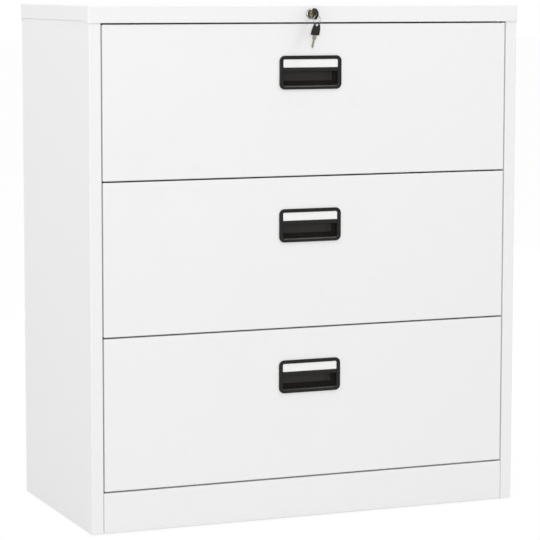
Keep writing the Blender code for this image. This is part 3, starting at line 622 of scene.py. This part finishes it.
def split_ring():
    """Two-turn wire ring: the wire goes twice round, stepping over by one wire between the turns."""
    turn = np.linspace(0, 4 * math.pi - 0.25, 200)
    step = np.clip((turn - 2 * math.pi + 0.4) / 0.8, 0, 1)
    aside = 0.00054 * (2 * step * step * (3 - 2 * step) - 1)
    facing = np.array([math.sin(RING_TWIST), -math.cos(RING_TWIST), 0])
    across = np.array([math.cos(RING_TWIST), math.sin(RING_TWIST), 0])
    up = np.array([0, 0, 1.0])
    start = math.radians(200)
    spoke = np.cos(turn + start)[:, None] * across + np.sin(turn + start)[:, None] * up
    centre = np.array([0, EYE_Y, RING_TOP - RING_RADIUS])
    path = centre + RING_RADIUS * spoke + aside[:, None] * facing
    angle = np.linspace(0, 2 * math.pi, 12, endpoint=False)
    wire = WIRE_RADIUS * np.minimum(1, 0.35 + 40 * np.minimum(turn, turn[-1] - turn))[:, None, None]
    ring = np.cos(angle)[None, :, None] * spoke[:, None] + np.sin(angle)[None, :, None] * facing
    return shell(path[:, None] + wire * ring, first_cap=True, last_cap=True)


def keys():
    """The key in the lock, the split ring in its eye, and the spare key hanging from the ring."""
    held = (np.array([0, EYE_Y, LOCK_Z]), (0, 0, 1), (0, 1, 0), (1, 0, 0))
    bow = laid(bow_skins(4.2, EYE_RADIUS), *held)
    blade = laid([blade_skin(0.0065, 0.0430)], *held)
    piece("key_grip", bow, GRIP, "key", ["key_bow"])
    piece("key_shank", blade, NICKEL, "key", ["key_blade"])
    piece("split_ring", [split_ring()], SPRING, "ring", ["key_ring"])
    w = np.cross(SPARE_ACROSS, SPARE_DOWN)
    w /= np.linalg.norm(w)
    v = SPARE_DOWN / np.linalg.norm(SPARE_DOWN)
    spare_eye = RING_TOP - 2 * RING_RADIUS - EYE_RADIUS + WIRE_RADIUS
    hung = (np.array([0, EYE_Y, spare_eye]), np.cross(v, w), v, w)
    bow = laid(bow_skins(1.3, 0.0041), *hung)
    blade = laid([blade_skin(0.0086, 0.0452)], *hung)
    piece("spare_key_grip", bow, GRIP, "ring")
    piece("spare_key_shank", blade, NICKEL, "ring")


# Small fittings
def screw_head(radius, height):
    """Pan head: a low crown over a round grid, less two crossed slots, its side let into the sheet."""
    reach = np.concatenate((np.linspace(0.05, 0.95, 14), [1.0, 1.0]))[:, None]
    turn = np.linspace(0, 2 * math.pi, 48, endpoint=False)
    x = reach * np.cos(turn)
    y = reach * np.sin(turn)

    def slot(u, v):
        return np.clip((0.19 - np.abs(u)) / 0.07, 0, 1) * np.clip((0.62 - np.abs(v)) / 0.10, 0, 1)

    rise = height * (1 - 0.5 * reach ** 3 - 0.55 * np.maximum(slot(x, y), slot(y, x)))
    rise[-1] = -0.0002
    return shell(np.stack((radius * x, radius * y, rise), axis=-1), first_cap=True, last_cap=True)


def rivet_head(radius, height):
    """Blind rivet: a crown that falls to the broken pin in the middle and to the sheet at the edge.

    The section is shares of the radius and of the height, turned about the pin.
    """
    section = np.array([
        (0.08, 0.62), (0.24, 0.58), (0.28, 0.66), (0.32, 0.92), (0.42, 1.0), (0.58, 0.97),
        (0.74, 0.85), (0.88, 0.62), (0.97, 0.36), (1.0, 0.2), (1.0, -0.2),
    ])
    turn = np.linspace(0, 2 * math.pi, 32, endpoint=False)
    x = radius * section[:, :1] * np.cos(turn)
    y = radius * section[:, :1] * np.sin(turn)
    rise = np.broadcast_to(height * section[:, 1:], x.shape)
    return shell(np.stack((x, y, rise), axis=-1), first_cap=True, last_cap=True)


def release_lever(length, thick):
    """Release lever of a slide: a rounded section carried along a bend, from a paddle to a stem.

    The bend and the half-width are steps of tanh along the length, and the section is a squared circle.
    """
    along = np.linspace(0, 1, 40)
    bend = 0.0016 * np.tanh(6 * (along - 0.40))
    ends = np.sqrt(np.clip(1 - np.abs(2 * along - 1) ** 18, 0.02, 1))
    half = (0.0036 - 0.0018 * np.tanh(9 * (along - 0.36))) * ends
    turn = np.linspace(0, 2 * math.pi, 20, endpoint=False)
    across = np.sign(np.cos(turn)) * np.abs(np.cos(turn)) ** 0.5
    through = np.sign(np.sin(turn)) * np.abs(np.sin(turn)) ** 0.5
    y = bend[:, None] + half[:, None] * across
    z = 0.5 * thick * (1 + ends[:, None] * through)
    x = np.broadcast_to(length * (along[:, None] - 0.5), y.shape)
    return shell(np.stack((x, y, z), axis=-1), first_cap=True, last_cap=True)


def slide_fittings():
    """Screws and release lever in the hollow of each inner slide member, on its web."""
    screw = [screw_head(0.0041, 0.0015)]
    lever = [release_lever(0.074, 0.0020)]
    gauge = 0.0012
    for number in (1, 2, 3):
        body = f"drawer_{number}"
        for label, side in (("left", -1), ("right", 1)):
            stem = f"{body}_slide_{label}"
            low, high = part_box(f"{stem}_inner")
            web = side * (min(abs(low.x), abs(high.x)) + gauge)
            middle = 0.5 * (low.z + high.z)
            axes = ((0, 1, 0), (0, 0, side), (side, 0, 0))
            screws = []
            for y in (0.026, 0.165, 0.340):
                screws += laid(screw, np.array([web, low.y + y, middle]), *axes)
            piece(f"{stem}_screws", screws, ZINC, body)
            catch = laid(lever, np.array([web, low.y + 0.094, middle]), *axes)
            piece(f"{stem}_lever", catch, MOULDING, body)


def back_rivets():
    """Two rows of blind rivets that hold the back sheet to the side panels."""
    low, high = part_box("back_panel")
    rivet = [rivet_head(0.0042, 0.0012)]
    axes = ((-1, 0, 0), (0, 0, 1), (0, 1, 0))
    inset = 0.0085
    shells = []
    for side in (-1, 1):
        for z in np.linspace(low.z + 0.045, high.z - 0.060, 8):
            shells += laid(rivet, np.array([side * (high.x - inset), high.y, z]), *axes)
    piece("back_rivets", shells, ZINC, "case")


# Stage
def seen_ray(finish):
    """1 for rays from the camera and those that a mirror or glass sends on, 0 for the others."""
    path = finish.node("ShaderNodeLightPath", {}, {})
    outputs = path.socket.node.outputs
    seen = Value(finish, outputs["Is Camera Ray"])
    glossy = Value(finish, outputs["Is Glossy Ray"])
    through = Value(finish, outputs["Is Transmission Ray"])
    return finish.node("ShaderNodeMath", {"operation": "MAXIMUM"}, {0: seen, 1: glossy + through})


def floor():
    """Pale floor: white to the camera with a faint shadow, and half grey to bounced light."""
    mesh = bpy.data.meshes.new("floor")
    corners = 40 * np.array([(-1, -1, 0), (1, -1, 0), (1, 1, 0), (-1, 1, 0)], float)
    mesh.from_pydata(corners.tolist(), [], [(0, 1, 2, 3)])
    ground = Finish("floor_white", Roughness=1.0, Specular_IOR_Level=0.0)
    ground.set(Base_Color=(0.50, 0.50, 0.50, 1))
    glow = ground.node("ShaderNodeEmission", {}, {"Color": (1, 1, 1, 1), "Strength": 1.0})
    matt = ground.node("ShaderNodeBsdfDiffuse", {}, {"Color": (1, 1, 1, 1)})
    shown = ground.node("ShaderNodeMixShader", {}, {0: 0.06, 1: glow, 2: matt})
    bounce = Value(ground, ground.shader.outputs[0])
    both = ground.node("ShaderNodeMixShader", {}, {0: seen_ray(ground), 1: bounce, 2: shown})
    ground.tree.links.new(both.socket, ground.tree.nodes["Material Output"].inputs["Surface"])
    mesh.materials.append(ground.material)
    made = bpy.data.objects.new("floor", mesh)
    bpy.context.scene.collection.objects.link(made)


class Sky(Finish):
    """The world's nodes, added in the same way as a finish's."""

    def __init__(self):
        self.world = bpy.data.worlds.new("studio")
        self.world.use_nodes = True
        self.tree = self.world.node_tree
        bpy.context.scene.world = self.world

    def even(self, strength):
        """Even soft light of one strength, shown to the camera as plain white."""
        light = self.node("ShaderNodeBackground", {}, {"Color": (1, 1, 1, 1), "Strength": strength})
        shown = self.node("ShaderNodeBackground", {}, {"Color": (1, 1, 1, 1), "Strength": 1.0})
        both = self.node("ShaderNodeMixShader", {}, {0: seen_ray(self), 1: light, 2: shown})
        self.tree.links.new(both.socket, self.tree.nodes["World Output"].inputs["Surface"])


def soft_box(name, spot, aim, size, power):
    """Square area lamp at a spot, turned to aim at a point."""
    lamp = bpy.data.lights.new(name, "AREA")
    lamp.size = size
    lamp.energy = power
    made = bpy.data.objects.new(name, lamp)
    bpy.context.scene.collection.objects.link(made)
    made.location = spot
    away = made.location - Vector(aim)
    made.rotation_euler = away.to_track_quat("Z", "Y").to_euler()


def studio():
    """Camera at the photograph's place, even sky, and soft lamps all round the cabinet."""
    view = bpy.data.cameras.new("camera")
    view.sensor_width = 36
    view.lens = LENS
    view.shift_y = EYE_SHIFT
    view.clip_end = 200
    eye = bpy.data.objects.new("camera", view)
    bpy.context.scene.collection.objects.link(eye)
    eye.location = EYE_SPOT
    eye.rotation_euler = np.radians(EYE_TURN)
    bpy.context.scene.camera = eye
    Sky().even(SKY_STRENGTH)
    for name, (spot, aim, size, power) in LAMPS.items():
        soft_box(name, spot, aim, size, power)
    bpy.context.scene.view_settings.view_transform = "Standard"


dress_solids()
handles()
lock_face()
keys()
slide_fittings()
back_rivets()
floor()
studio()
